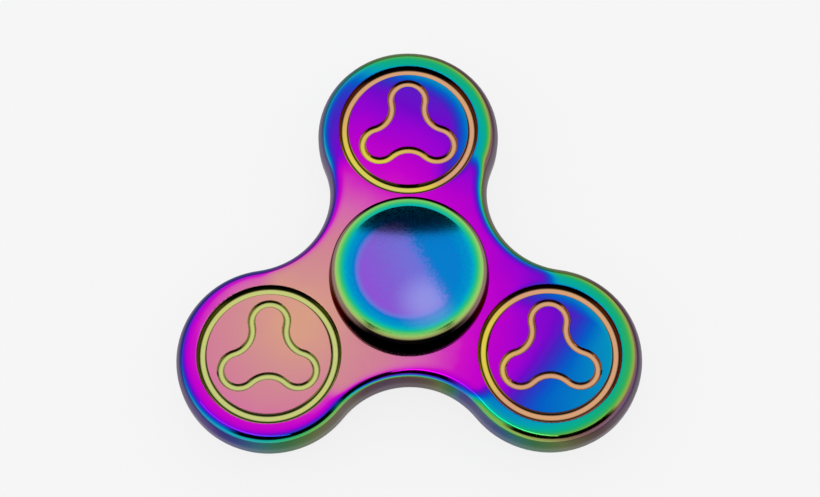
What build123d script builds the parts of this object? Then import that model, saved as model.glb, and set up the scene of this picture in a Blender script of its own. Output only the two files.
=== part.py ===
"""Three-lobed fidget spinner, in millimetres, +Z up along the spin axis.

The origin is on the spin axis, half way through the thickness, and one lobe points along +Y.
A deep-groove ball bearing (8 x 22 x 7) sits in the middle of a die-cast frame. Two finger pads
screw together through its bore and clamp the inner race, so the frame, its three weights and
the outer race turn while the pads are held.
"""

import os
from math import cos, pi, radians, sin, tan

from build123d import *

os.makedirs("parts", exist_ok=True)

# ---------------------------------------------------------------- driving dimensions

# Bearing, size 608
bearing_bore_radius = 4.0
bearing_outer_radius = 11.0
bearing_width = 7.0
bearing_corner = 0.3  # corner break of both races
inner_shoulder_radius = 6.05
outer_shoulder_radius = 8.95
ball_count = 7
ball_radius = 1.9845
pitch_radius = 7.5
raceway_conformity = 1.04  # raceway section radius over ball radius
ball_running_gap = 0.03  # ball to each raceway, radially

# Ribbon cage of the bearing
cage_sheet = 0.3
cage_inner_radius = 6.75
cage_outer_radius = 8.3
pocket_gap = 0.1  # ball to cage pocket
rivet_radius = 0.35
rivet_head_height = 0.2
rivet_cup_gap = 0.35  # rivet head to the cups on either side

# Shields and the snap rings that hold them
shield_sheet = 0.3
shield_recess_radius = 9.6  # mouth of the recess in the outer race
shield_recess_depth = 0.75
shield_edge_gap = 0.05  # shield rim to recess wall
shield_bore_gap = 0.15  # shield to the inner race, which stands still while it turns
shield_flange_width = 1.0  # outer flat of the shield, on its seat
shield_rise = 0.25  # the middle of a shield stands out by this much
clip_groove_depth = 0.25  # snap ring groove, outwards from the recess
clip_height = 0.15
clip_width = 0.5
clip_gap_width = 2.0  # opening of the snap ring
clip_clearance = 0.03  # snap ring to its groove, radially and in height

# Weights pressed into the lobes, with the groove that marks each seam
weight_radius = 10.6
seam_floor_inside = 0.55  # the groove's floor reaches from the seam inwards by this much
seam_floor_outside = 0.5  # and outwards by this much
seam_groove_depth = 0.9
weight_wall_lean = 9.0  # lean of the groove's inner wall, in degrees off the axis
frame_wall_lean = 27.0  # lean of its outer wall
groove_lip_round = 0.15  # rounding of every groove's lips

# Trefoil groove on both faces of each weight, measured along its middle line
trefoil_arm_distance = 5.45  # weight centre to the centre of an arm
trefoil_arm_radius = 2.87
trefoil_waist = 3.7  # weight centre to the middle line between two arms
trefoil_groove_width = 1.2
trefoil_groove_depth = 0.7
trefoil_wall_lean = 16.0  # lean of both walls, in degrees off the axis

# Frame casting, built around the seats of the bearing and of the weights
lobe_count = 3
seat_web = 4.2  # metal between the bearing's seat and a weight's seat
lobe_wall = 4.4  # metal around a weight
waist_wall = 6.0  # metal around the bearing, at the narrowest place between two lobes
bearing_inset = 0.6  # frame face to bearing face
frame_edge_round = 3.2  # rounding of the outline, top and bottom
seat_mouth_chamfer = 0.4  # break of the bearing seat's edges

# Finger pads
pad_overhang = 1.95  # the pad's foot reaches past the bearing by this much
pad_draft = 0.45  # the pad's wall leans in by this much from foot to rim
pad_edge_round = 0.8
pad_rise = 3.7  # frame face to the pad's rim
pad_gap = 0.4  # running gap between frame face and pad
pad_foot_chamfer = 0.3
rim_width = 1.6  # from the top of the wall to the lip of the dish
dish_depth = 1.5
dish_lip_round = 1.2
shoulder_inset = 0.45  # the shoulder on the inner race stays this far inside its edge
post_gap = 0.01  # post to bearing bore, radially
post_end_gap = 0.4  # gap left between the two posts' ends
stud_radius = 2.5
stud_length = 5.0
stud_gap = 0.05  # stud to tapped hole, radially
stud_end_gap = 0.4  # stud's end to the bottom of the tapped hole
stud_chamfer = 0.4

# ---------------------------------------------------------------- derived places

lobe_distance = bearing_outer_radius + seat_web + weight_radius
lobe_radius = weight_radius + lobe_wall
waist_distance = bearing_outer_radius + waist_wall
lobe_turns = [90 + 360 / lobe_count * i for i in range(lobe_count)]  # the first lobe is at +Y
bearing_face = bearing_width / 2
frame_face = bearing_face + bearing_inset
frame_thickness = 2 * frame_face
seam_floor = frame_face - seam_groove_depth
seam_floor_inner_radius = weight_radius - seam_floor_inside
seam_floor_outer_radius = weight_radius + seam_floor_outside
seam_mouth_radius = seam_floor_outer_radius + seam_groove_depth * tan(radians(frame_wall_lean))
half_groove = trefoil_groove_width / 2
pad_bottom = frame_face + pad_gap
pad_top = frame_face + pad_rise
pad_base_radius = bearing_outer_radius + pad_overhang
pad_top_radius = pad_base_radius - pad_draft
dish_radius = pad_top_radius - rim_width
dish_floor = pad_top - dish_depth
ball_turns = [360 / ball_count * i for i in range(ball_count)]


def on_circle(radius, turn):
    """The point at this radius and this angle, in degrees, about the local centre."""
    return Vector(radius, 0).rotate(Axis.Z, turn)


def hollow_radius(arm_distance, arm_radius, waist):
    """Radius of the hollow that is tangent to two neighbouring arms and just reaches the waist."""
    spread = cos(pi / lobe_count)  # cosine of the angle from an arm to the next hollow
    reach = arm_distance**2 + waist**2 - 2 * arm_distance * waist * spread - arm_radius**2
    return reach / (2 * (arm_radius - waist + arm_distance * spread))


def draw_trefoil(arm_distance, arm_radius, waist, centre=Vector(0, 0)):
    """Draw, in the open BuildLine, round arms joined by hollows, every arc tangent to the next."""
    hollow = hollow_radius(arm_distance, arm_radius, waist)
    half_step = 180 / lobe_count
    for turn in lobe_turns:
        arm_centre = on_circle(arm_distance, turn)
        joins = []
        for side in (-1, 1):
            hollow_centre = on_circle(waist + hollow, turn + side * half_step)
            towards = (hollow_centre - arm_centre).normalized()
            joins.append(arm_centre + towards * arm_radius)
        arm_start, arm_end = joins
        arm_tip = on_circle(arm_distance + arm_radius, turn)
        hollow_top = on_circle(waist, turn + half_step)
        next_arm_start = arm_start.rotate(Axis.Z, 2 * half_step)
        ThreePointArc(*[tuple(centre + point) for point in (arm_start, arm_tip, arm_end)])
        ThreePointArc(*[tuple(centre + point) for point in (arm_end, hollow_top, next_arm_start)])


def save(builder, name):
    """Label a finished piece and write it to its STEP file."""
    builder.part.label = name
    export_step(builder.part, f"parts/{name}.step")


# ---------------------------------------------------------------- frame casting

with BuildPart() as spinner_frame:
    with BuildSketch(Plane.XY.offset(-frame_face)):
        with BuildLine():
            draw_trefoil(lobe_distance, lobe_radius, waist_distance)
        make_face()
    extrude(amount=frame_thickness)
    fillet(spinner_frame.faces().filter_by(Axis.Z).edges(), radius=frame_edge_round)

    # Seats for the bearing and the weights, right through the casting
    Hole(bearing_outer_radius)
    with PolarLocations(lobe_distance, lobe_count, start_angle=lobe_turns[0]):
        Hole(weight_radius)
    mouths = spinner_frame.edges().filter_by(GeomType.CIRCLE)
    mouths = mouths.filter_by(lambda edge: abs(edge.radius - bearing_outer_radius) < 0.01)
    mouths = mouths.filter_by(lambda edge: edge.arc_center.X**2 + edge.arc_center.Y**2 < 1)
    chamfer(mouths, length=seat_mouth_chamfer)

    # Outer half of each seam groove, on both faces
    for side in (1, -1):
        with BuildSketch(Plane.XY.offset(side * frame_face)):
            with PolarLocations(lobe_distance, lobe_count, start_angle=lobe_turns[0]):
                Circle(seam_mouth_radius)
        extrude(amount=-side * seam_groove_depth, taper=frame_wall_lean, mode=Mode.SUBTRACT)
    lips = spinner_frame.edges().filter_by(GeomType.CIRCLE)
    lips = lips.filter_by(lambda edge: abs(edge.radius - seam_mouth_radius) < 0.01)
    fillet(lips, radius=groove_lip_round)
save(spinner_frame, "spinner_frame")

# ---------------------------------------------------------------- lobe weights

weight_names = ["lobe_weight_rear", "lobe_weight_left", "lobe_weight_right"]
for name, turn in zip(weight_names, lobe_turns):
    lobe_centre = on_circle(lobe_distance, turn)
    with BuildPart() as lobe_weight:
        with BuildSketch():
            with Locations(lobe_centre):
                Circle(weight_radius)
        extrude(amount=seam_floor)

        # The face stands up out of the seam groove, and the trefoil groove is cut into it
        with BuildSketch(Plane.XY.offset(seam_floor)):
            with Locations(lobe_centre):
                Circle(seam_floor_inner_radius)
        extrude(amount=seam_groove_depth, taper=weight_wall_lean)
        with BuildSketch(Plane.XY.offset(frame_face)):
            for reach, mode in ((half_groove, Mode.ADD), (-half_groove, Mode.SUBTRACT)):
                arm_radius, waist = trefoil_arm_radius + reach, trefoil_waist + reach
                with BuildLine():
                    draw_trefoil(trefoil_arm_distance, arm_radius, waist, lobe_centre)
                make_face(mode=mode)
        extrude(amount=-trefoil_groove_depth, taper=trefoil_wall_lean, mode=Mode.SUBTRACT)
        fillet(lobe_weight.faces().filter_by(Axis.Z).group_by(Axis.Z)[-1].edges(), groove_lip_round)
        mirror(about=Plane.XY)
    save(lobe_weight, name)

# ---------------------------------------------------------------- bearing races

raceway_radius = ball_radius * raceway_conformity
outer_raceway_centre = pitch_radius + ball_radius + ball_running_gap - raceway_radius
inner_raceway_centre = pitch_radius - ball_radius - ball_running_gap + raceway_radius
shield_seat = bearing_face - shield_recess_depth
clip_bottom = shield_seat + shield_sheet
clip_groove_top = clip_bottom + clip_height + clip_clearance
clip_groove_radius = shield_recess_radius + clip_groove_depth

with BuildPart() as bearing_outer_race:
    with BuildSketch(Plane.XZ):
        with Locations(((outer_shoulder_radius + bearing_outer_radius) / 2, 0)):
            Rectangle(bearing_outer_radius - outer_shoulder_radius, bearing_width)
        chamfer(vertices().group_by(Axis.X)[-1], length=bearing_corner)
        with Locations((outer_raceway_centre, 0)):
            Circle(raceway_radius, mode=Mode.SUBTRACT)
        for side in (1, -1):
            recess_middle = side * (shield_seat + bearing_face) / 2
            with Locations(((outer_shoulder_radius + shield_recess_radius) / 2, recess_middle)):
                Rectangle(
                    shield_recess_radius - outer_shoulder_radius,
                    shield_recess_depth,
                    mode=Mode.SUBTRACT,
                )
            groove_middle = side * (shield_seat + clip_groove_top) / 2
            with Locations(((outer_shoulder_radius + clip_groove_radius) / 2, groove_middle)):
                Rectangle(
                    clip_groove_radius - outer_shoulder_radius,
                    clip_groove_top - shield_seat,
                    mode=Mode.SUBTRACT,
                )
    revolve(axis=Axis.Z)
save(bearing_outer_race, "bearing_outer_race")

with BuildPart() as bearing_inner_race:
    with BuildSketch(Plane.XZ):
        with Locations(((bearing_bore_radius + inner_shoulder_radius) / 2, 0)):
            Rectangle(inner_shoulder_radius - bearing_bore_radius, bearing_width)
        chamfer(vertices(), length=bearing_corner)
        with Locations((inner_raceway_centre, 0)):
            Circle(raceway_radius, mode=Mode.SUBTRACT)
    revolve(axis=Axis.Z)
save(bearing_inner_race, "bearing_inner_race")

# ---------------------------------------------------------------- balls

for number, turn in enumerate(ball_turns, start=1):
    with BuildPart() as bearing_ball:
        with Locations(on_circle(pitch_radius, turn)):
            Sphere(ball_radius)
    save(bearing_ball, f"bearing_ball_{number}")

# ---------------------------------------------------------------- ribbon cage

pocket_radius = ball_radius + pocket_gap
cup_radius = pocket_radius + cage_sheet
rivet_start = ball_turns[0] + 180 / ball_count  # the rivets are half way between the balls
rivet_to_ball = 2 * pitch_radius * sin(pi / (2 * ball_count))
rivet_head_radius = rivet_to_ball - cup_radius - rivet_cup_gap

for name, side in (("cage_half_upper", 1), ("cage_half_lower", -1)):
    with BuildPart() as cage_half:
        # Round cups over the balls, kept between the ribbon's two edges
        with PolarLocations(pitch_radius, ball_count):
            Sphere(cup_radius)
        with BuildSketch(Plane.XY):
            Circle(cage_outer_radius)
            Circle(cage_inner_radius, mode=Mode.SUBTRACT)
        extrude(amount=side * cup_radius, mode=Mode.INTERSECT)

        # Flat webs between the cups, then the pockets and the rivet holes
        with BuildSketch(Plane.XY):
            Circle(cage_outer_radius)
            Circle(cage_inner_radius, mode=Mode.SUBTRACT)
        extrude(amount=side * cage_sheet)
        with PolarLocations(pitch_radius, ball_count):
            Sphere(pocket_radius, mode=Mode.SUBTRACT)
        with PolarLocations(pitch_radius, ball_count, start_angle=rivet_start):
            Cylinder(rivet_radius, 4 * cage_sheet, mode=Mode.SUBTRACT)
    save(cage_half, name)

with BuildPart() as cage_rivets:
    with PolarLocations(pitch_radius, ball_count, start_angle=rivet_start):
        Cylinder(rivet_radius, 2 * cage_sheet)
        with Locations((0, 0, cage_sheet)):
            Cylinder(rivet_head_radius, rivet_head_height, align=(Align.CENTER, Align.CENTER, Align.MIN))
        with Locations((0, 0, -cage_sheet)):
            Cylinder(rivet_head_radius, rivet_head_height, align=(Align.CENTER, Align.CENTER, Align.MAX))
save(cage_rivets, "cage_rivets")

# ---------------------------------------------------------------- shields and snap rings

shield_rim = shield_recess_radius - shield_edge_gap
shield_bore = inner_shoulder_radius + shield_bore_gap
flange_inner = shield_rim - shield_flange_width

for name, side in (("shield_upper", 1), ("shield_lower", -1)):
    seat = side * shield_seat
    with BuildPart() as shield:
        with BuildSketch(Plane.XZ):
            with BuildLine():
                Polyline(
                    (shield_rim, seat),
                    (flange_inner, seat),
                    (flange_inner - shield_rise, seat + side * shield_rise),
                    (shield_bore, seat + side * shield_rise),
                    (shield_bore, seat + side * (shield_rise + shield_sheet)),
                    (flange_inner - shield_rise, seat + side * (shield_rise + shield_sheet)),
                    (flange_inner, seat + side * shield_sheet),
                    (shield_rim, seat + side * shield_sheet),
                    close=True,
                )
            make_face()
        revolve(axis=Axis.Z)
    save(shield, name)

for name, side in (("snap_ring_upper", 1), ("snap_ring_lower", -1)):
    ring_radius = clip_groove_radius - clip_clearance
    with BuildPart() as snap_ring:
        with BuildSketch(Plane.XY.offset(side * clip_bottom)):
            Circle(ring_radius)
            Circle(ring_radius - clip_width, mode=Mode.SUBTRACT)
            with Locations((0, ring_radius)):
                Rectangle(clip_gap_width, 3 * clip_width, mode=Mode.SUBTRACT)
        extrude(amount=side * clip_height)
    save(snap_ring, name)

# ---------------------------------------------------------------- finger pads

post_radius = bearing_bore_radius - post_gap
shoulder_radius = inner_shoulder_radius - shoulder_inset
post_end = post_end_gap / 2
tapped_hole_bottom = -post_end + post_end_gap - stud_length - stud_end_gap

for name, side in (("finger_pad_upper", 1), ("finger_pad_lower", -1)):
    with BuildPart() as finger_pad:
        with BuildSketch(Plane.XZ):
            with BuildLine():
                outline = Polyline(
                    (0, side * post_end),
                    (post_radius, side * post_end),
                    (post_radius, side * bearing_face),
                    (shoulder_radius, side * bearing_face),
                    (shoulder_radius, side * pad_bottom),
                    (pad_base_radius, side * pad_bottom),
                    (pad_top_radius, side * pad_top),
                    (dish_radius, side * pad_top),
                )
                dish = ThreePointArc(
                    outline @ 1,
                    (dish_radius / 2, side * (dish_floor + dish_depth / 4)),
                    (0, side * dish_floor),
                )
                Line(dish @ 1, outline @ 0)
            make_face()
        revolve(axis=Axis.Z)
        circles = finger_pad.edges().filter_by(GeomType.CIRCLE)
        fillet(circles.filter_by(lambda edge: abs(edge.radius - pad_top_radius) < 0.01), pad_edge_round)
        fillet(circles.filter_by(lambda edge: abs(edge.radius - dish_radius) < 0.01), dish_lip_round)
        chamfer(circles.filter_by(lambda edge: abs(edge.radius - pad_base_radius) < 0.01), pad_foot_chamfer)

        # The upper pad carries the stud, and the lower pad has the tapped hole for it
        if side == 1:
            with BuildSketch(Plane.XY.offset(post_end)):
                Circle(stud_radius - stud_gap)
            extrude(amount=-stud_length)
            chamfer(finger_pad.edges().group_by(Axis.Z)[0], length=stud_chamfer)
        else:
            with BuildSketch(Plane.XY.offset(-post_end)):
                Circle(stud_radius)
            extrude(amount=tapped_hole_bottom + post_end, mode=Mode.SUBTRACT)
    save(finger_pad, name)
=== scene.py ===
# %% [markdown]
# # A rainbow-coated fidget spinner
# The spinner is a die-cast frame with three pressed-in weights, two finger pads and a ball
# bearing in the middle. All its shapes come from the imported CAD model, which is loaded here as a
# fixed frame. What this file adds is the look: a titanium nitride film on bright metal, whose
# thickness changes from place to place and so shows every colour of the rainbow.

# %% Load the model
import math

import bmesh
import bpy
from mathutils import Matrix, Vector


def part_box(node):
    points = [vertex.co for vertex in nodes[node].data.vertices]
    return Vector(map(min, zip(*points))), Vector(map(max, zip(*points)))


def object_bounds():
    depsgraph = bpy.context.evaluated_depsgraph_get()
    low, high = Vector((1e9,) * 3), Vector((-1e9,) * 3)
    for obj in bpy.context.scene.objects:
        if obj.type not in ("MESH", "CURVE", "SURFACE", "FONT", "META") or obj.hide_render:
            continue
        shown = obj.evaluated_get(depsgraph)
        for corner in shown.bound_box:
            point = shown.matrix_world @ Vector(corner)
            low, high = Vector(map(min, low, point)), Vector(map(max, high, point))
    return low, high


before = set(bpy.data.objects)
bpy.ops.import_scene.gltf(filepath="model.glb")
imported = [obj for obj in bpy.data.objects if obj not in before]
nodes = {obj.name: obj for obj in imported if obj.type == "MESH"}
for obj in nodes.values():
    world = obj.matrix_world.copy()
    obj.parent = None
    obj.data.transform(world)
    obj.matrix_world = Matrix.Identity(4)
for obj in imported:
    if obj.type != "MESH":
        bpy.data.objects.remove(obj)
cad_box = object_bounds()

# %% [markdown]
# Every length below is written in millimetres, and Blender works in metres. The places that the
# finish depends on are measured on the loaded pieces, so they follow the CAD model.

# %% Measure the pieces
MM = 0.001


def middle(name):
    """Centre of a piece's box, in millimetres."""
    low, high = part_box(name)
    return (low + high) / 2 / MM


face_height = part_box("spinner_frame")[1].z / MM
rim_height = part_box("finger_pad_upper")[1].z / MM
lobe_centres = [middle("lobe_weight_" + place) for place in ("rear", "left", "right")]
print("face at", round(face_height, 2), "mm, pad's rim at", round(rim_height, 2), "mm")

# %% [markdown]
# Colours are written as the hex values that a paint program shows. Those are sRGB values, and
# the renderer needs linear light, so one function turns them. Another adds a shader node and
# links what feeds it, which is nearly all that the materials below are made with.

# %% Colours and nodes
LEVEL = (1, 1, 0)  # a vector times this keeps its level part
SMOOTH = {"interpolation_type": "SMOOTHSTEP"}  # a Map Range with a soft start and end


def linear(code):
    """Linear red, green, blue and alpha of an sRGB hex colour such as 'b803c8'."""
    channels = [int(code[i : i + 2], 16) / 255 for i in (0, 2, 4)]
    return [c / 12.92 if c <= 0.04045 else ((c + 0.055) / 1.055) ** 2.4 for c in channels] + [1.0]


def add(tree, kind, inputs=None, **settings):
    """Add a shader node. An input is a value, or the node or socket that feeds it."""
    node = tree.nodes.new("ShaderNode" + kind)
    for name, value in settings.items():
        setattr(node, name, value)
    for name, value in (inputs or {}).items():
        if isinstance(value, bpy.types.Node):
            value = value.outputs[0]
        if isinstance(value, bpy.types.NodeSocket):
            tree.links.new(value, node.inputs[name])
        else:
            node.inputs[name].default_value = value
    return node


def new_material(name, metallic=1.0):
    """An empty material, its node tree and its shader."""
    material = bpy.data.materials.new(name)
    material.use_nodes = True
    shader = material.node_tree.nodes["Principled BSDF"]
    shader.inputs["Metallic"].default_value = metallic
    return material, material.node_tree, shader


print("a middle grey is", round(linear("808080")[0], 3), "in linear light")

# %% [markdown]
# ## Floor
# The spinner lies on its lower pad on a white light table. Seen directly the table glows by
# itself, which takes away nearly all of the shadow and keeps a trace of it as matt white. The
# metal's own reflections see a dimmer table, because its glass is frosted and sends its light
# mostly upwards, and that is what gives the sides of the spinner their depth.

# %% Make the light table
TABLE_WIDTH = 6.0  # metres
TABLE_WHITE, TABLE_IN_METAL = "f6f6f6", "9c9ca0"
TABLE_GLOW = 0.9  # share of the table's white that is its own light


def level_sheet(name, width, depth, place):
    """A level rectangle for the stage, around a place. Its sizes are in metres."""
    shape = bmesh.new()
    bmesh.ops.create_grid(shape, x_segments=1, y_segments=1, size=0.5)
    bmesh.ops.scale(shape, verts=shape.verts, vec=(width, depth, 1))
    bmesh.ops.translate(shape, verts=shape.verts, vec=place)
    mesh = bpy.data.meshes.new(name)
    shape.to_mesh(mesh)
    shape.free()
    sheet = bpy.data.objects.new(name, mesh)
    bpy.context.scene.collection.objects.link(sheet)
    return sheet


floor = level_sheet("light_table", TABLE_WIDTH, TABLE_WIDTH, (0, 0, cad_box[0].z))
# Frosted acrylic lit from behind: an even white with no gloss and hardly a shadow
table_paint, tree, shader = new_material("backlit_white_acrylic", metallic=0.0)
shader.inputs["Base Color"].default_value = linear(TABLE_WHITE)
shader.inputs["Roughness"].default_value = 0.9
shader.inputs["Specular IOR Level"].default_value = 0.0
glow = add(tree, "Emission", {"Color": linear(TABLE_WHITE)})
lit_table = add(tree, "MixShader", {0: TABLE_GLOW, 1: shader, 2: glow})
dim_table = add(tree, "Emission", {"Color": linear(TABLE_IN_METAL)})
in_metal = add(tree, "LightPath").outputs["Is Glossy Ray"]
table_mix = add(tree, "MixShader", {0: in_metal, 1: lit_table, 2: dim_table})
tree.links.new(table_mix.outputs[0], tree.nodes["Material Output"].inputs["Surface"])
floor.data.materials.append(table_paint)
print("table at", round(cad_box[0].z / MM, 2), "mm")

# %% [markdown]
# ## Light
# Polished metal shows what is around it, so the surroundings are the light. A white tent gives
# a soft, even light from all sides. On the front side it is open, which rounded edges that face
# the front show as a dark line. The opening is made by direction alone: a height above the
# table, and a width to either side of its middle.

# %% Make the tent
TENT_OPENING = (17.0, 20.5, 40.0, 43.0)  # heights in degrees: starts, full, still full, ends
TENT_OPENING_HALF_WIDTH = (42.0, 58.0)  # degrees to either side of its middle: full, gone
TENT_OPENING_ASIDE = 14.0  # degrees from the front to the middle of the opening, to the right
TENT_WHITE, TENT_DARK, TENT_BRIGHTNESS = "ffffff", "060608", 1.06

world = bpy.data.worlds.new("white_tent")
bpy.context.scene.world = world
world.use_nodes = True
tree = world.node_tree
tree.nodes.clear()
direction = add(tree, "TexCoord").outputs["Generated"]
height = add(tree, "SeparateXYZ", {0: direction}).outputs[2]
level = add(tree, "VectorMath", {0: direction, 1: LEVEL}, operation="MULTIPLY")
heading = add(tree, "VectorMath", {0: level}, operation="NORMALIZE")
aside = math.radians(TENT_OPENING_ASIDE)
opening_way = (math.sin(aside), -math.cos(aside), 0)
along = add(tree, "VectorMath", {0: heading, 1: opening_way}, operation="DOT_PRODUCT")
heights = [math.sin(math.radians(a)) for a in TENT_OPENING]
widths = [math.cos(math.radians(a)) for a in TENT_OPENING_HALF_WIDTH]
above = add(tree, "MapRange", {0: height, 1: heights[0], 2: heights[1]}, **SMOOTH)
below = add(tree, "MapRange", {0: height, 1: heights[3], 2: heights[2]}, **SMOOTH)
across = add(tree, "MapRange", {0: along.outputs["Value"], 1: widths[1], 2: widths[0]}, **SMOOTH)
between = add(tree, "Math", {0: above, 1: below}, operation="MULTIPLY")
opening = add(tree, "Math", {0: between, 1: across}, operation="MULTIPLY")
cloth = add(tree, "Mix", {0: opening, 6: linear(TENT_WHITE), 7: linear(TENT_DARK)}, data_type="RGBA")
tent = add(tree, "Background", {0: cloth.outputs[2], 1: TENT_BRIGHTNESS})
add(tree, "OutputWorld", {0: tent})
print("tent open from", TENT_OPENING[0], "to", TENT_OPENING[3], "degrees above the table")

# %% [markdown]
# A narrow strip lamp hangs above the left part of the opening. In the rounded edges it draws a
# thin bright line beside the dark one. Its brightness as seen in the metal is its power over
# its area and pi, so the power is worked out from the brightness that is wanted.

# %% Hang the strip lamp
STRIP_LENGTH, STRIP_WIDTH, STRIP_DISTANCE = 0.8, 0.04, 0.6  # metres
STRIP_ASIDE_ANGLE, STRIP_HEIGHT_ANGLE = -30.0, 45.0
STRIP_BRIGHTNESS = 2.4

strip_turn, strip_rise = math.radians(STRIP_ASIDE_ANGLE), math.radians(STRIP_HEIGHT_ANGLE)
towards_strip = Vector((
    math.sin(strip_turn) * math.cos(strip_rise),
    -math.cos(strip_turn) * math.cos(strip_rise),
    math.sin(strip_rise),
))
strip = bpy.data.lights.new("strip_lamp", "AREA")
strip.shape = "RECTANGLE"
strip.size, strip.size_y = STRIP_LENGTH, STRIP_WIDTH
strip.energy = STRIP_BRIGHTNESS * math.pi * STRIP_LENGTH * STRIP_WIDTH
strip_lamp = bpy.data.objects.new("strip_lamp", strip)
strip_lamp.location = towards_strip * STRIP_DISTANCE
strip_lamp.rotation_euler = towards_strip.to_track_quat("Z", "Y").to_euler()
bpy.context.scene.collection.objects.link(strip_lamp)
print("strip lamp power", round(strip.energy, 4), "W")

# %% [markdown]
# A small black card hangs just over the middle of the spinner. Only reflections see it: the
# hollow of the pad gathers it into the dark crescent along its far wall.

# %% Hang the black card
CARD_HEIGHT = 40.0  # over the pad's rim
CARD_WIDTH, CARD_DEPTH, CARD_ASIDE, CARD_BEHIND = 15.5, 5.4, 0.2, 5.5

card_place = Vector((CARD_ASIDE, CARD_BEHIND, rim_height + CARD_HEIGHT)) * MM
card = level_sheet("black_card", CARD_WIDTH * MM, CARD_DEPTH * MM, card_place)
card.visible_camera = False
card.visible_diffuse = False
card.visible_shadow = False
card.visible_transmission = False
# Matt black card: it gives hardly anything back, so its reflection is a clean dark shape
card_paint, tree, shader = new_material("matt_black_card", metallic=0.0)
shader.inputs["Base Color"].default_value = linear("0a0a0c")
shader.inputs["Roughness"].default_value = 0.95
shader.inputs["Specular IOR Level"].default_value = 0.1
card.data.materials.append(card_paint)
print("card", CARD_HEIGHT, "mm over the rim")

# %% [markdown]
# ## Camera
# The camera looks down steeply from the front, turned by a degree to one side, with a long lens.
# It aims at a point on the frame's upper face, a little behind the middle.

# %% Place the camera
CAMERA_TURN, CAMERA_HEIGHT, CAMERA_ROLL = math.radians(-1.168), math.radians(69.913), math.radians(0.908)
CAMERA_DISTANCE, CAMERA_ASIDE, CAMERA_UP = 323.25, 0.15, 4.463
CAMERA_LENS, CAMERA_SENSOR = 88.09, 36.0

back = Vector((
    math.sin(CAMERA_TURN) * math.cos(CAMERA_HEIGHT),
    -math.cos(CAMERA_TURN) * math.cos(CAMERA_HEIGHT),
    math.sin(CAMERA_HEIGHT),
))
level_right = Vector((math.cos(CAMERA_TURN), math.sin(CAMERA_TURN), 0))
level_up = back.cross(level_right)
right = math.cos(CAMERA_ROLL) * level_right + math.sin(CAMERA_ROLL) * level_up
up = -math.sin(CAMERA_ROLL) * level_right + math.cos(CAMERA_ROLL) * level_up
place = Vector((0, 0, face_height)) + back * CAMERA_DISTANCE + right * CAMERA_ASIDE + up * CAMERA_UP

camera_data = bpy.data.cameras.new("camera")
camera_data.lens = CAMERA_LENS
camera_data.sensor_width = CAMERA_SENSOR
camera_data.clip_start = 0.01
camera = bpy.data.objects.new("camera", camera_data)
camera.matrix_world = Matrix.Translation(place * MM) @ Matrix((right, up, back)).transposed().to_4x4()
bpy.context.scene.collection.objects.link(camera)
bpy.context.scene.camera = camera
bpy.context.scene.view_settings.view_transform = "Standard"
print("camera at", [round(v, 1) for v in place], "mm")

# %% [markdown]
# ## The rainbow film
# The parts are plated bright and then coated in vacuum with a film of titanium nitride and
# oxide, a few hundred nanometres thick. Light that comes back from the film's two faces
# interferes, so the film's thickness sets the colour, and the colours always follow each other
# in the same order: pale green, yellow, salmon, magenta, violet, blue, cyan, green, olive, and
# then a duller purple. The thickness is counted here as a phase, in degrees around the colour
# wheel from yellow, and one ramp turns a phase into the metal's colour. The pads have a ramp of
# their own, because their satin grain makes the same film look paler.

# %% Order of the film's colours
FILM_START, FILM_END = -40.0, 480.0
FILM_COLOURS = [
    (-40, "a6c274"), (-8, "c2c87a"), (8, "dccb46"), (26, "d4a468"), (42, "d39a82"), (60, "cc8a8c"),
    (78, "cc7a94"), (92, "d066a8"), (104, "ce40b4"), (112, "c812be"), (120, "be04c6"), (130, "ae02c6"),
    (140, "9404cc"), (152, "6c0ac4"), (166, "4620bc"), (180, "2c34bc"), (192, "1648c0"), (202, "045cc0"),
    (214, "0474be"), (226, "068cb8"), (238, "069cac"), (250, "08a694"), (264, "10a878"), (282, "34a856"),
    (306, "64ac4a"), (335, "8ea850"), (360, "8a8a4c"), (388, "80684c"), (414, "7a5256"), (440, "785468"),
    (480, "604480"),
]
PAD_FILM_COLOURS = [
    (140, "9048d0"), (152, "8a50d0"), (164, "7e5cce"), (178, "726cd2"), (190, "6072d4"), (200, "4074ce"),
    (208, "1474c8"), (216, "027cc8"), (226, "0290c4"), (236, "04a4bc"), (246, "0ab2a4"), (258, "26b684"),
    (274, "4cc06c"), (296, "7cc868"), (322, "98c468"), (344, "9aa860"), (366, "9c8460"), (400, "805440"),
    (440, "5c3c3c"), (470, "4a3030"),
]


def film_colour(tree, phase, colours):
    """The metal's colour under a film of this phase."""
    place_on_ramp = add(tree, "MapRange", {0: phase, 1: FILM_START, 2: FILM_END})
    ramp = add(tree, "ValToRGB", {0: place_on_ramp})
    stops = ramp.color_ramp.elements
    stops.remove(stops[1])
    for i, (at, code) in enumerate(colours):
        stop = stops[0] if i == 0 else stops.new((at - FILM_START) / (FILM_END - FILM_START))
        stop.position = (at - FILM_START) / (FILM_END - FILM_START)
        stop.color = linear(code)
    return ramp


def millimetres(tree):
    """The point's place on its piece, in millimetres."""
    metres = add(tree, "TexCoord").outputs["Object"]
    return add(tree, "VectorMath", {0: metres, "Scale": 1 / MM}, operation="SCALE")


print(len(FILM_COLOURS), "colours on the frame,", len(PAD_FILM_COLOURS), "on the pads")

# %% [markdown]
# In the vacuum chamber the spinner lay with its left lobe nearest the shaded side. So the film is
# thinnest there, grows with the distance from that place, and grows faster towards the right
# corner. It is also thicker on the two other weights, on their side away from the shade, and on
# the casting's own rim around the outer half of each lobe, most of all towards the right.

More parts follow.
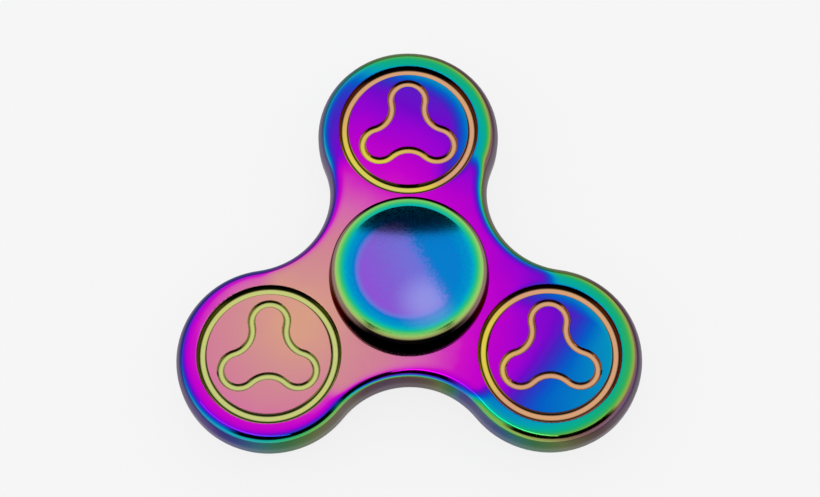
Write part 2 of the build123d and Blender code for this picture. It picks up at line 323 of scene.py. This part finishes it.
# %% Thicker film on the weights and around them
DISC_WAY, DISC_TURN = (0.866, 0.5, 0.0), (-0.25, 0.7)  # away from the shade: its way, how it's reached
DISC_RING, DISC_END, DISC_RISE = (6.8, 10.2), (10.6, 12.5), 58.0  # by radius on the weight
RING_RANGE, RING_START = (10.9, 11.9), (21.0, 24.5)  # by radius on the lobe, and from the spin axis
RING_WAY, RING_TURN, RING_RISE, RING_MORE = (0.97, 0.24, 0.0), (-3.5, 6.0), 30.0, 56.0


def weight_rise(tree, away, radius):
    """How much thicker the film is on the side of a weight that lies away from the shade."""
    way = add(tree, "VectorMath", {0: away}, operation="NORMALIZE")
    facing = add(tree, "VectorMath", {0: way, 1: DISC_WAY}, operation="DOT_PRODUCT").outputs["Value"]
    side = add(tree, "MapRange", {0: facing, 1: DISC_TURN[0], 2: DISC_TURN[1], 4: DISC_RISE}, **SMOOTH)
    inner = add(tree, "MapRange", {0: radius, 1: DISC_RING[0], 2: DISC_RING[1]}, **SMOOTH)
    outer = add(tree, "MapRange", {0: radius, 1: DISC_END[1], 2: DISC_END[0]}, **SMOOTH)
    band = add(tree, "Math", {0: inner, 1: outer}, operation="MULTIPLY")
    return add(tree, "Math", {0: band, 1: side}, operation="MULTIPLY")


def rim_rise(tree, flat, nearest):
    """How much thicker the film is on the casting's own rim, around the outer half of a lobe."""
    right = add(tree, "VectorMath", {0: flat, 1: RING_WAY}, operation="DOT_PRODUCT").outputs["Value"]
    most = RING_RISE + RING_MORE
    by_side = {0: right, 1: RING_TURN[0], 2: RING_TURN[1], 3: RING_RISE, 4: most}
    amount = add(tree, "MapRange", by_side, **SMOOTH)
    from_axis = add(tree, "VectorMath", {0: flat}, operation="LENGTH").outputs["Value"]
    outside = add(tree, "MapRange", {0: from_axis, 1: RING_START[0], 2: RING_START[1]}, **SMOOTH)
    ring = add(tree, "MapRange", {0: nearest, 1: RING_RANGE[0], 2: RING_RANGE[1]}, **SMOOTH)
    on_rim = add(tree, "Math", {0: outside, 1: ring}, operation="MULTIPLY")
    return add(tree, "Math", {0: on_rim, 1: amount}, operation="MULTIPLY")


print("film thicker by", DISC_RISE, "degrees on a weight, and", RING_RISE + RING_MORE, "on the rim")

# %% Film on the faces
THIN_SPOT = (-18.0, -7.0, 4.5)  # the height keeps the spot's middle from coming to a point
THIN_GROWTH, THIN_POWER, THIN_PHASE = 4.4, 0.9, 25.5
CORNER_WAY, CORNER_RANGE, CORNER_RISE = (0.728, -0.686, 0.0), (21.8, 30.4), 50.0
shaded_centre = min(lobe_centres, key=lambda centre: centre.x)


def face_film(tree, flat):
    """Phase of the film on the faces, and the distance to the nearest weight's middle."""
    from_thin = add(tree, "VectorMath", {0: flat, 1: THIN_SPOT}, operation="DISTANCE").outputs["Value"]
    grown = add(tree, "Math", {0: from_thin, 1: THIN_POWER}, operation="POWER")
    base = add(tree, "Math", {0: grown, 1: THIN_GROWTH, 2: THIN_PHASE}, operation="MULTIPLY_ADD")
    along = add(tree, "VectorMath", {0: flat, 1: CORNER_WAY}, operation="DOT_PRODUCT").outputs["Value"]
    most = add(tree, "MapRange", {0: along, 1: CORNER_RANGE[0], 2: CORNER_RANGE[1], 4: CORNER_RISE}, **SMOOTH)
    nearest = None
    for centre in lobe_centres:
        away = add(tree, "VectorMath", {0: flat, 1: (centre.x, centre.y, 0)}, operation="SUBTRACT")
        radius = add(tree, "VectorMath", {0: away}, operation="LENGTH").outputs["Value"]
        if nearest is None:
            nearest = radius
        else:
            nearest = add(tree, "Math", {0: nearest, 1: radius}, operation="MINIMUM")
        if centre is not shaded_centre:
            rise = weight_rise(tree, away, radius)
            most = add(tree, "Math", {0: most, 1: rise}, operation="MAXIMUM")
    most = add(tree, "Math", {0: most, 1: rim_rise(tree, flat, nearest)}, operation="MAXIMUM")
    return add(tree, "Math", {0: base, 1: most}, operation="ADD"), nearest


print("film thinnest near", THIN_SPOT[:2], "mm")

# %% [markdown]
# Over a rounded edge the film goes on growing, most on the sides that face right and front. How
# far round the edge a point lies is read from its depth below the face. Down on the steep sides
# the film settles at a value that depends on which way they face. In the necks between the lobes
# the edges that face the front gain less, and the sides below them settle at more.

# %% Film over the edges
EDGE_DEPTH, EDGE_POWER, EDGE_MOST = 0.75, 1.5, 1.22
EDGE_GAIN, EDGE_GAIN_RIGHT, EDGE_GAIN_FRONT = 60.0, 90.0, 40.0
SIDE_START, SIDE_FULL = 0.8, 1.7  # depths where the edge gives way to the side
SIDE_PHASE, SIDE_SWING, SIDE_LEAST = 250.0, 165.0, 150.0
SIDE_SHARE, SIDE_SHARE_RANGE = 0.5, (120.0, 320.0)  # part of the face's phase that shows on the side
NECK_RANGE, NECK_RISE, NECK_LESS = (24.0, 17.0), 170.0, 0.6  # by distance from the spin axis


def edge_gain(tree, right_share, front_share, front_neck):
    """How fast the film grows over an edge that faces this way."""
    gain = add(tree, "Math", {0: right_share, 1: EDGE_GAIN_RIGHT, 2: EDGE_GAIN}, operation="MULTIPLY_ADD")
    gain = add(tree, "Math", {0: front_share, 1: EDGE_GAIN_FRONT, 2: gain}, operation="MULTIPLY_ADD")
    kept = add(tree, "Math", {0: front_neck, 1: -NECK_LESS, 2: 1.0}, operation="MULTIPLY_ADD")
    return add(tree, "Math", {0: gain, 1: kept}, operation="MULTIPLY")


def side_film(tree, phase, right, front_neck):
    """Phase of the film on the frame's steep sides."""
    by_way = add(tree, "Math", {0: right, 1: SIDE_SWING, 2: SIDE_PHASE}, operation="MULTIPLY_ADD")
    at_least = add(tree, "Math", {0: by_way, 1: SIDE_LEAST}, operation="MAXIMUM")
    low, high = SIDE_SHARE_RANGE
    more = add(tree, "MapRange", {0: phase, 1: low, 2: high, 4: (high - low) * SIDE_SHARE})
    total = add(tree, "Math", {0: at_least, 1: more}, operation="ADD")
    return add(tree, "Math", {0: front_neck, 1: NECK_RISE, 2: total}, operation="MULTIPLY_ADD")


def outline_film(tree, flat, depth, phase, right, front):
    """Phase of the film over the frame's outline, and how far down on the side the point is."""
    right_share = add(tree, "Math", {0: right, 1: 0.0}, operation="MAXIMUM")
    front_share = add(tree, "Math", {0: front, 1: 0.0}, operation="MAXIMUM")
    from_axis = add(tree, "VectorMath", {0: flat}, operation="LENGTH").outputs["Value"]
    neck = add(tree, "MapRange", {0: from_axis, 1: NECK_RANGE[0], 2: NECK_RANGE[1]}, **SMOOTH)
    front_neck = add(tree, "Math", {0: neck, 1: front_share}, operation="MULTIPLY")
    gain = edge_gain(tree, right_share, front_share, front_neck)
    share = add(tree, "Math", {0: depth, 1: EDGE_DEPTH}, operation="DIVIDE")
    bent = add(tree, "Math", {0: share, 1: EDGE_POWER}, operation="POWER")
    over_edge = add(tree, "Math", {0: bent, 1: EDGE_MOST}, operation="MINIMUM")
    edge_phase = add(tree, "Math", {0: over_edge, 1: gain, 2: phase}, operation="MULTIPLY_ADD")
    side_phase = side_film(tree, phase, right, front_neck)
    on_side = add(tree, "MapRange", {0: depth, 1: SIDE_START, 2: SIDE_FULL}, **SMOOTH)
    return add(tree, "Mix", {0: on_side, 2: edge_phase, 3: side_phase}), on_side


print("edges gain", EDGE_GAIN, "degrees, and up to", EDGE_GAIN_RIGHT, "more on the right")

# %% [markdown]
# The grooves lie in the shade of their own walls in the coating stream, so their film is
# thinner, which makes them yellow on a magenta face. Their brightness is painted light and
# shade: painted shade darkens the corners, a painted highlight runs along the middle of the
# floor of the seam around a weight, and the walls are painted dark, nearly black where they
# face the front, as a painted reflection of the tent's dark opening. An Ambient Occlusion node
# finds the corners for the painted shade, because it measures how much of the open side a
# point sees within a reach of less than half a millimetre.

# %% Film and brightness in the grooves
SEAM_OUTER = 11.72  # outer edge of the seam's groove, from the weight's middle
# The seam's floor carries a painted highlight along its middle, this far to either side
SEAM_MIDDLE, PAINTED_SEAM_HIGHLIGHT_REACH = 10.55, (0.24, 0.52)  # middle of its floor, and how far it stays bright
TREFOIL_AWAY = 1.0  # the trefoil groove lies at least this far from the seam's middle
GROOVE_LOSS, GROOVE_LEAST, GROOVE_MOST = 112.0, -8.0, 34.0
GROOVE_START, GROOVE_FULL = 0.05, 0.2  # depths where the face gives way to the groove
STEEP_START, STEEP_FULL = 0.98, 0.85  # upward part of the normal, on the floor and on the walls
WALL_TURN = (0.68, 0.86)  # how far the wall faces the front
# Painted reflection of the tent's dark opening: groove walls painted darker, nearly black facing the front
PAINTED_WALL_SHADE_SIDE, PAINTED_WALL_SHADE_FRONT = 0.5, 0.03
CORNER_REACH, CORNER_RAYS = 0.45, 8
# Painted shade: groove corners darkened where the Ambient Occlusion node finds them
CORNER_LIGHT, PAINTED_CORNER_SHADE_TONE = (0.52, 0.93), 0.08  # share of the open side: dark below, bright above


def groove_film(tree, phase, down):
    """Phase of the film on a weight's face and down its grooves."""
    thinner = add(tree, "Math", {0: phase, 1: GROOVE_LOSS}, operation="SUBTRACT")
    groove_phase = add(tree, "Clamp", {0: thinner, 1: GROOVE_LEAST, 2: GROOVE_MOST})
    return add(tree, "Mix", {0: down, 2: phase, 3: groove_phase})


def painted_groove_floor_shade(tree, nearest):
    """Painted shade in the corners of a groove's floor, and a painted highlight along the seam's middle."""
    reach = {"Distance": CORNER_REACH * MM}
    corners = add(tree, "AmbientOcclusion", reach, samples=CORNER_RAYS, only_local=True)
    light = {0: corners.outputs["AO"], 1: CORNER_LIGHT[0], 2: CORNER_LIGHT[1], 3: PAINTED_CORNER_SHADE_TONE, 4: 1.0}
    painted_corner_shade = add(tree, "MapRange", light, **SMOOTH)
    aside = add(tree, "Math", {0: nearest, 1: SEAM_MIDDLE}, operation="SUBTRACT")
    off_middle = add(tree, "Math", {0: aside}, operation="ABSOLUTE")
    fading = {0: off_middle, 1: PAINTED_SEAM_HIGHLIGHT_REACH[0], 2: PAINTED_SEAM_HIGHLIGHT_REACH[1], 3: 1.0, 4: PAINTED_CORNER_SHADE_TONE}
    painted_seam_highlight = add(tree, "MapRange", fading, **SMOOTH)
    in_trefoil = add(tree, "Math", {0: off_middle, 1: TREFOIL_AWAY}, operation="GREATER_THAN")
    painted_middle_highlight = add(tree, "Math", {0: painted_seam_highlight, 1: in_trefoil}, operation="MAXIMUM")
    return add(tree, "Math", {0: painted_corner_shade, 1: painted_middle_highlight}, operation="MULTIPLY")


def painted_groove_shade(tree, nearest, upward, front):
    """Painted light and shade in a groove, on its floor and on its walls."""
    turn = {0: front, 1: WALL_TURN[0], 2: WALL_TURN[1], 3: PAINTED_WALL_SHADE_SIDE, 4: PAINTED_WALL_SHADE_FRONT}
    painted_wall_shade = add(tree, "MapRange", turn, **SMOOTH)
    steep = add(tree, "MapRange", {0: upward, 1: STEEP_START, 2: STEEP_FULL}, **SMOOTH)
    return add(tree, "Mix", {0: steep, 2: painted_groove_floor_shade(tree, nearest), 3: painted_wall_shade})


print("grooves lose", GROOVE_LOSS, "degrees of phase")

# %% [markdown]
# One function puts the film of the frame and the weights together. A slow drift of a few degrees
# keeps it from being too regular. The frame's sides are painted duller, towards grey, most on the
# left and the right, as a painted reflection of the dim surroundings that they face.

# %% Film of the frame and the weights
DRIFT_WIDTH, DRIFT_PHASE = 6.25, 12.0  # millimetres, and degrees from least to most
# Painted reflection: the frame's sides are greyed, most where they face left or right
PAINTED_SIDE_GREY_SHARE, PAINTED_SIDE_GREY_FROM = (0.15, 0.65), 0.5  # share of grey, rising from this much facing aside
PAINTED_SIDE_REFLECTION_GREY = "d4c4c6"


def which_way(tree):
    """How far the surface faces right, front, and up or down."""
    facing = add(tree, "TexCoord").outputs["Normal"]
    upright = add(tree, "SeparateXYZ", {0: facing}).outputs[2]
    upward = add(tree, "Math", {0: upright}, operation="ABSOLUTE")
    level = add(tree, "VectorMath", {0: facing, 1: LEVEL}, operation="MULTIPLY")
    unit = add(tree, "VectorMath", {0: level}, operation="NORMALIZE")
    heading = add(tree, "SeparateXYZ", {0: unit})
    front = add(tree, "Math", {0: heading.outputs[1], 1: -1.0}, operation="MULTIPLY")
    return heading.outputs[0], front, upward


def depth_below_face(tree, point):
    """Depth below the nearer of the frame's two faces, in millimetres."""
    along_axis = add(tree, "SeparateXYZ", {0: point}).outputs[2]
    either_side = add(tree, "Math", {0: along_axis}, operation="ABSOLUTE")
    below = add(tree, "Math", {0: face_height, 1: either_side}, operation="SUBTRACT")
    return add(tree, "Math", {0: below, 1: 0.0}, operation="MAXIMUM")


def painted_side_reflection(tree, right, on_side, in_lobe):
    """Share of painted grey on the frame's sides, a painted reflection, most where they face aside."""
    sideways = add(tree, "Math", {0: right}, operation="ABSOLUTE")
    share = add(tree, "MapRange", {0: sideways, 1: PAINTED_SIDE_GREY_FROM, 2: 1.0, 3: PAINTED_SIDE_GREY_SHARE[0], 4: PAINTED_SIDE_GREY_SHARE[1]})
    outside = add(tree, "Math", {0: 1.0, 1: in_lobe}, operation="SUBTRACT")
    on_outline = add(tree, "Math", {0: on_side, 1: outside}, operation="MULTIPLY")
    return add(tree, "Math", {0: on_outline, 1: share}, operation="MULTIPLY")


def frame_film(tree):
    """The point, the film's phase there, the grooves' painted shade, and the share of painted side grey."""
    point = millimetres(tree)
    flat = add(tree, "VectorMath", {0: point, 1: LEVEL}, operation="MULTIPLY")
    depth = depth_below_face(tree, point)
    right, front, upward = which_way(tree)
    phase, nearest = face_film(tree, flat)
    outline_phase, on_side = outline_film(tree, flat, depth, phase, right, front)
    in_lobe = add(tree, "Math", {0: nearest, 1: SEAM_OUTER}, operation="LESS_THAN")
    down = add(tree, "MapRange", {0: depth, 1: GROOVE_START, 2: GROOVE_FULL}, **SMOOTH)
    lobe_phase = groove_film(tree, phase, down)
    settled = add(tree, "Mix", {0: in_lobe, 2: outline_phase, 3: lobe_phase})
    drift = add(tree, "TexNoise", {"Vector": point, "Scale": 1 / DRIFT_WIDTH, "Detail": 2.0})
    uneven = add(tree, "Math", {0: drift, 1: 0.5}, operation="SUBTRACT")
    total = add(tree, "Math", {0: uneven, 1: DRIFT_PHASE, 2: settled}, operation="MULTIPLY_ADD")
    # Painted shade and highlight in the grooves; elsewhere the film keeps its full brightness
    in_groove = add(tree, "Math", {0: down, 1: in_lobe}, operation="MULTIPLY")
    tone = add(tree, "Mix", {0: in_groove, 2: 1.0, 3: painted_groove_shade(tree, nearest, upward, front)})
    return point, total, tone, painted_side_reflection(tree, right, on_side, in_lobe)


print("film drifts by", DRIFT_PHASE, "degrees over about", DRIFT_WIDTH, "mm")

# %% [markdown]
# ## Frame and weights
# The frame is a zinc die casting, tumbled and polished before it is plated, so its faces are
# smooth but not quite flat: a faint waviness about a millimetre and a half across, as on any
# polished casting. The weights are zinc too, cast and turned, which leaves them a little
# smoother. Frame and weights are coated together, after the weights have been pressed in, so one
# function makes the metal of both.

# %% Coated metal of the frame and the weights
HAZE_WIDTH = 1.1111  # patches of more and less polish, in millimetres
HAZE_RANGE = (0.75, 1.3)  # least and most of the roughness, as shares
NOISE_LOW, NOISE_HIGH = 0.3, 0.7  # where nearly all of a noise lies


def coated_metal(name, roughness, wave_height, wave_width):
    """Polished metal under the rainbow film. The waves are in millimetres."""
    material, tree, shader = new_material(name)
    point, phase, tone, painted_side_grey = frame_film(tree)
    film = film_colour(tree, phase, FILM_COLOURS)
    # Painted reflection: grey mixed into the film's colour on the sides
    film_with_painted_grey = add(tree, "Mix", {0: painted_side_grey, 6: film, 7: linear(PAINTED_SIDE_REFLECTION_GREY)}, data_type="RGBA")
    # The painted shade and highlight of the grooves scale the colour here
    shaded = add(tree, "VectorMath", {0: film_with_painted_grey.outputs[2], "Scale": tone}, operation="SCALE")
    tree.links.new(shaded.outputs[0], shader.inputs["Base Color"])
    patches = {"Vector": point, "Scale": 1 / HAZE_WIDTH, "Detail": 5.0, "Roughness": 0.6}
    haze = add(tree, "TexNoise", patches)
    least, most = [roughness * share for share in HAZE_RANGE]
    rough = add(tree, "MapRange", {0: haze, 1: NOISE_LOW, 2: NOISE_HIGH, 3: least, 4: most})
    tree.links.new(rough.outputs[0], shader.inputs["Roughness"])
    waves = add(tree, "TexNoise", {"Vector": point, "Scale": 1 / wave_width, "Detail": 1.0})
    skin = add(tree, "Bump", {"Height": waves, "Strength": 1.0, "Distance": wave_height * MM})
    tree.links.new(skin.outputs[0], shader.inputs["Normal"])
    return material


# Mirror-bright, with colours that run into each other and reflections that bend a little
cast_zinc = coated_metal("pvd_rainbow_on_polished_zinc_casting", 0.08, 0.004, 1.6)
# The same film on a flatter face, whose reflections are a touch sharper
turned_zinc = coated_metal("pvd_rainbow_on_turned_zinc_weight", 0.07, 0.003, 1.3)
print("made", cast_zinc.name, "and", turned_zinc.name)

# %% [markdown]
# ## Finger pads
# The pads are cast and turned, and their hollow is left with a fine satin grain for grip, which
# frays the borders between its colours. Here too the film follows the shape: violet in the
# hollow on the left, blue on the right with a painted highlight before it, and a run from cyan
# through green to yellow where the rim stands up. The wall is painted dark as painted shade, a
# dull brown on the left and the right and nearly black on the front and the back.

# %% Film on the pads
PAD_WAY = (0.885, 0.466, 0.0)  # across the hollow, along which its film grows
PAD_LEFT, PAD_MIDDLE = (-9.0, 146.0), (2.4, 184.0)  # places along it in millimetres, and phases
PAD_STEP, PAD_STEP_RISE = (1.2, 4.9), 30.0  # where the violet turns blue
GRAIN_WIDTH, GRAIN_FRAY, GRAIN_PHASE = 0.45455, 2.2, 14.0  # how it shifts the place, and the phase
# Painted highlight: a lighter patch in the hollow, before the violet turns blue
PAINTED_HIGHLIGHT_AT, PAINTED_HIGHLIGHT_REACH, PAINTED_HIGHLIGHT_SHARE, PAINTED_HIGHLIGHT_COLOUR = (2.6, -5.0, 0.0), (0.5, 6.0), 0.42, "a8b0f0"
RIM_CENTRE = (0.0, 0.35, 0.0)  # the rim's colours lie a little off the pad's centre
RIM_MIX = (7.4, 9.4)  # radius where the hollow's colours give way to the rim's
RIM_START, RIM_REACH, RIM_POWER = 9.0, 2.8, 2.5
RIM_PHASE, RIM_RISE, RIM_MOST = 222.0, 104.0, 352.0


def hollow_film(tree, across):
    """Phase of the film in the pad's hollow, by the place across it."""
    (left, left_phase), (centre, centre_phase) = PAD_LEFT, PAD_MIDDLE
    slow = add(tree, "MapRange", {0: across, 1: left, 2: centre, 3: left_phase, 4: centre_phase})
    step = add(tree, "MapRange", {0: across, 1: PAD_STEP[0], 2: PAD_STEP[1], 4: PAD_STEP_RISE}, **SMOOTH)
    return add(tree, "Math", {0: slow, 1: step}, operation="ADD")


def rim_film(tree, radius):
    """Phase of the film where the hollow rises to the rim."""
    reach = add(tree, "MapRange", {0: radius, 1: RIM_START, 2: RIM_START + RIM_REACH}, clamp=False)
    outwards = add(tree, "Math", {0: reach, 1: 0.0}, operation="MAXIMUM")
    climb = add(tree, "Math", {0: outwards, 1: RIM_POWER}, operation="POWER")
    rim = add(tree, "Math", {0: climb, 1: RIM_RISE, 2: RIM_PHASE}, operation="MULTIPLY_ADD")
    return add(tree, "Math", {0: rim, 1: RIM_MOST}, operation="MINIMUM")


def painted_highlight_share(tree, flat, across):
    """How far the hollow's film is towards its painted highlight."""
    from_painted_highlight = add(tree, "VectorMath", {0: flat, 1: PAINTED_HIGHLIGHT_AT}, operation="DISTANCE").outputs["Value"]
    patch = add(tree, "MapRange", {0: from_painted_highlight, 1: PAINTED_HIGHLIGHT_REACH[1], 2: PAINTED_HIGHLIGHT_REACH[0], 4: PAINTED_HIGHLIGHT_SHARE}, **SMOOTH)
    before_step = add(tree, "MapRange", {0: across, 1: PAD_STEP[1], 2: PAD_STEP[0]}, **SMOOTH)
    return add(tree, "Math", {0: patch, 1: before_step}, operation="MULTIPLY")


def pad_top_colour(tree, point, flat):
    """The metal's colour on the pad's hollow and rim, with a painted highlight in the hollow."""
    grain = add(tree, "TexNoise", {"Vector": point, "Scale": 1 / GRAIN_WIDTH, "Detail": 4.0})
    uneven = add(tree, "Math", {0: grain, 1: 0.5}, operation="SUBTRACT")
    straight = add(tree, "VectorMath", {0: flat, 1: PAD_WAY}, operation="DOT_PRODUCT").outputs["Value"]
    across = add(tree, "Math", {0: uneven, 1: GRAIN_FRAY, 2: straight}, operation="MULTIPLY_ADD")
    radius = add(tree, "VectorMath", {0: flat, 1: RIM_CENTRE}, operation="DISTANCE").outputs["Value"]
    near_rim = add(tree, "MapRange", {0: radius, 1: RIM_MIX[0], 2: RIM_MIX[1]}, **SMOOTH)
    total = add(tree, "Mix", {0: near_rim, 2: hollow_film(tree, across), 3: rim_film(tree, radius)})
    phase = add(tree, "Math", {0: uneven, 1: GRAIN_PHASE, 2: total}, operation="MULTIPLY_ADD")
    film = film_colour(tree, phase, PAD_FILM_COLOURS)
    painted_highlight = painted_highlight_share(tree, flat, across)
    return add(tree, "Mix", {0: painted_highlight, 6: film, 7: linear(PAINTED_HIGHLIGHT_COLOUR)}, data_type="RGBA").outputs[2]


print("pads' film from", PAD_LEFT[1], "to", RIM_MOST, "degrees")

# %% Coated metal of the pads
PAD_WALL_START, PAD_WALL_FULL = 11.75, 12.05  # radius where the rim turns over into the wall
# Painted shade: the pad's wall is near black where it faces front or back, dull brown where it faces left or
# right
PAD_WALL_PAINTED_SHADE, PAD_WALL_PAINTED_SIDE_SHADE = "0c0809", "8a7068"
PAD_WALL_TURN = (0.5, 0.98)  # how far the wall faces left or right
SATIN_WIDTH, SATIN_HEIGHT, SATIN_ROUGHNESS = 0.25, 0.0016, (0.07, 0.12)  # in millimetres


def pad_colour(tree, point):
    """The metal's colour on a whole pad, with the painted shade of its wall."""
    flat = add(tree, "VectorMath", {0: point, 1: LEVEL}, operation="MULTIPLY")
    outward = add(tree, "VectorMath", {0: flat}, operation="NORMALIZE")
    right = add(tree, "SeparateXYZ", {0: outward})
    sideways = add(tree, "Math", {0: right}, operation="ABSOLUTE")
    light = add(tree, "MapRange", {0: sideways, 1: PAD_WALL_TURN[0], 2: PAD_WALL_TURN[1]}, **SMOOTH)
    painted_wall_colours = {0: light, 6: linear(PAD_WALL_PAINTED_SHADE), 7: linear(PAD_WALL_PAINTED_SIDE_SHADE)}
    wall = add(tree, "Mix", painted_wall_colours, data_type="RGBA")
    from_axis = add(tree, "VectorMath", {0: flat}, operation="LENGTH").outputs["Value"]
    on_wall = add(tree, "MapRange", {0: from_axis, 1: PAD_WALL_START, 2: PAD_WALL_FULL}, **SMOOTH)
    top = pad_top_colour(tree, point, flat)
    return add(tree, "Mix", {0: on_wall, 6: top, 7: wall.outputs[2]}, data_type="RGBA").outputs[2]


# Satin metal: its colours stay clear, and what it reflects goes soft at the edges. The tint keeps
# the wall's painted shade dark even where it is seen at a grazing angle.
satin_pad, tree, shader = new_material("pvd_rainbow_on_satin_zinc_pad")
point = millimetres(tree)
colour = pad_colour(tree, point)
tree.links.new(colour, shader.inputs["Base Color"])
tree.links.new(colour, shader.inputs["Specular Tint"])
grain = add(tree, "TexNoise", {"Vector": point, "Scale": 1 / SATIN_WIDTH, "Detail": 3.0})
least, most = SATIN_ROUGHNESS
rough = add(tree, "MapRange", {0: grain, 1: NOISE_LOW, 2: NOISE_HIGH, 3: least, 4: most})
tree.links.new(rough.outputs[0], shader.inputs["Roughness"])
skin = add(tree, "Bump", {"Height": grain, "Strength": 1.0, "Distance": SATIN_HEIGHT * MM})
tree.links.new(skin.outputs[0], shader.inputs["Normal"])
print("made", satin_pad.name)

# %% [markdown]
# ## Bearing steels
# Inside, nothing is coated. The races and balls are hardened chrome steel, ground and lapped.
# Grinding leaves fine lines that run around the axis, a few hundredths of a millimetre apart,
# drawn here as wide as 0.15 mm so that they can show. The cage and the shields are pressed from
# soft sheet steel, which keeps the dull, faintly mottled skin of the rolling mill, and the snap
# rings are drawn spring wire, darkened by its heat treatment.

# %% Steel with grinding lines
GRINDING_BRIGHT = "f0f0f2"  # colour of the brightest lines
GRINDING_RANGE = (0.7, 1.4)  # least and most of the roughness, as shares


def ground_steel(name, colour, roughness, line_spacing, line_height):
    """Steel with fine lines around the Z axis. The spacing and height are in millimetres."""
    material, tree, shader = new_material(name)
    point = millimetres(tree)
    height = add(tree, "SeparateXYZ", {0: point}).outputs[2]
    level = add(tree, "VectorMath", {0: point, 1: LEVEL}, operation="MULTIPLY")
    radius = add(tree, "VectorMath", {0: level}, operation="LENGTH").outputs["Value"]
    around = add(tree, "CombineXYZ", {0: radius, 1: 0.0, 2: height})
    lines = add(tree, "TexNoise", {"Vector": around, "Scale": 1 / line_spacing, "Detail": 2.0})
    tone = add(tree, "Mix", {0: lines, 6: linear(colour), 7: linear(GRINDING_BRIGHT)}, data_type="RGBA")
    tree.links.new(tone.outputs[2], shader.inputs["Base Color"])
    least, most = [roughness * share for share in GRINDING_RANGE]
    rough = add(tree, "MapRange", {0: lines, 1: NOISE_LOW, 2: NOISE_HIGH, 3: least, 4: most})
    tree.links.new(rough.outputs[0], shader.inputs["Roughness"])
    skin = add(tree, "Bump", {"Height": lines, "Strength": 1.0, "Distance": line_height * MM})
    tree.links.new(skin.outputs[0], shader.inputs["Normal"])
    return material


# Bright grey with fine rings that catch the light
race_steel = ground_steel("ground_chrome_bearing_steel", "c4c6ca", 0.16, 0.15, 0.001)
print("made", race_steel.name)

# %% Steel with a mottled skin
MOTTLE_HEIGHT = 0.002  # millimetres
MOTTLE_RANGE = (0.8, 1.2)  # least and most of the roughness, as shares


def sheet_steel(name, colour, dark, roughness, mottle):
    """Pressed, drawn or lapped steel with a mottled skin. The mottle is in millimetres."""
    material, tree, shader = new_material(name)
    point = millimetres(tree)
    spots = add(tree, "TexNoise", {"Vector": point, "Scale": 1 / mottle, "Detail": 4.0})
    tone = add(tree, "Mix", {0: spots, 6: linear(dark), 7: linear(colour)}, data_type="RGBA")
    tree.links.new(tone.outputs[2], shader.inputs["Base Color"])
    least, most = [roughness * share for share in MOTTLE_RANGE]
    rough = add(tree, "MapRange", {0: spots, 1: NOISE_LOW, 2: NOISE_HIGH, 3: most, 4: least})
    tree.links.new(rough.outputs[0], shader.inputs["Roughness"])
    skin = add(tree, "Bump", {"Height": spots, "Strength": 1.0, "Distance": MOTTLE_HEIGHT * MM})
    tree.links.new(skin.outputs[0], shader.inputs["Normal"])
    return material


# Nearly a mirror, as lapping leaves it
ball_steel = sheet_steel("lapped_chrome_steel_ball", "e2e4e6", "d0d2d6", 0.05, 0.8)
# Warm, dull grey of soft steel that was pressed and left bare
cage_steel = sheet_steel("pressed_low_carbon_steel_cage", "b8b4ac", "96928c", 0.28, 0.5)
# A cleaner, smoother sheet with the mill's faint mottle
shield_steel = sheet_steel("rolled_and_pressed_steel_shield", "c8c8c6", "a8a8a8", 0.22, 0.6)
# Brownish dark grey from tempering
spring_steel = sheet_steel("tempered_spring_steel_wire", "7c7670", "544e4a", 0.3, 0.3)
print("made", ball_steel.name, cage_steel.name, shield_steel.name, spring_steel.name)

# %% [markdown]
# Each piece gets the metal that the real one is made of.

# %% Dress the pieces
METALS = {
    cast_zinc: ["spinner_frame"],
    turned_zinc: [n for n in nodes if n.startswith("lobe_weight")],
    satin_pad: [n for n in nodes if n.startswith("finger_pad")],
    race_steel: ["bearing_inner_race", "bearing_outer_race"],
    ball_steel: [n for n in nodes if n.startswith("bearing_ball")],
    cage_steel: [n for n in nodes if n.startswith("cage_")],
    shield_steel: [n for n in nodes if n.startswith("shield_")],
    spring_steel: [n for n in nodes if n.startswith("snap_ring")],
}
for metal, names in METALS.items():
    for name in names:
        nodes[name].data.materials.clear()
        nodes[name].data.materials.append(metal)
    print(metal.name, "on", len(names))
assert sum(len(names) for names in METALS.values()) == len(nodes)
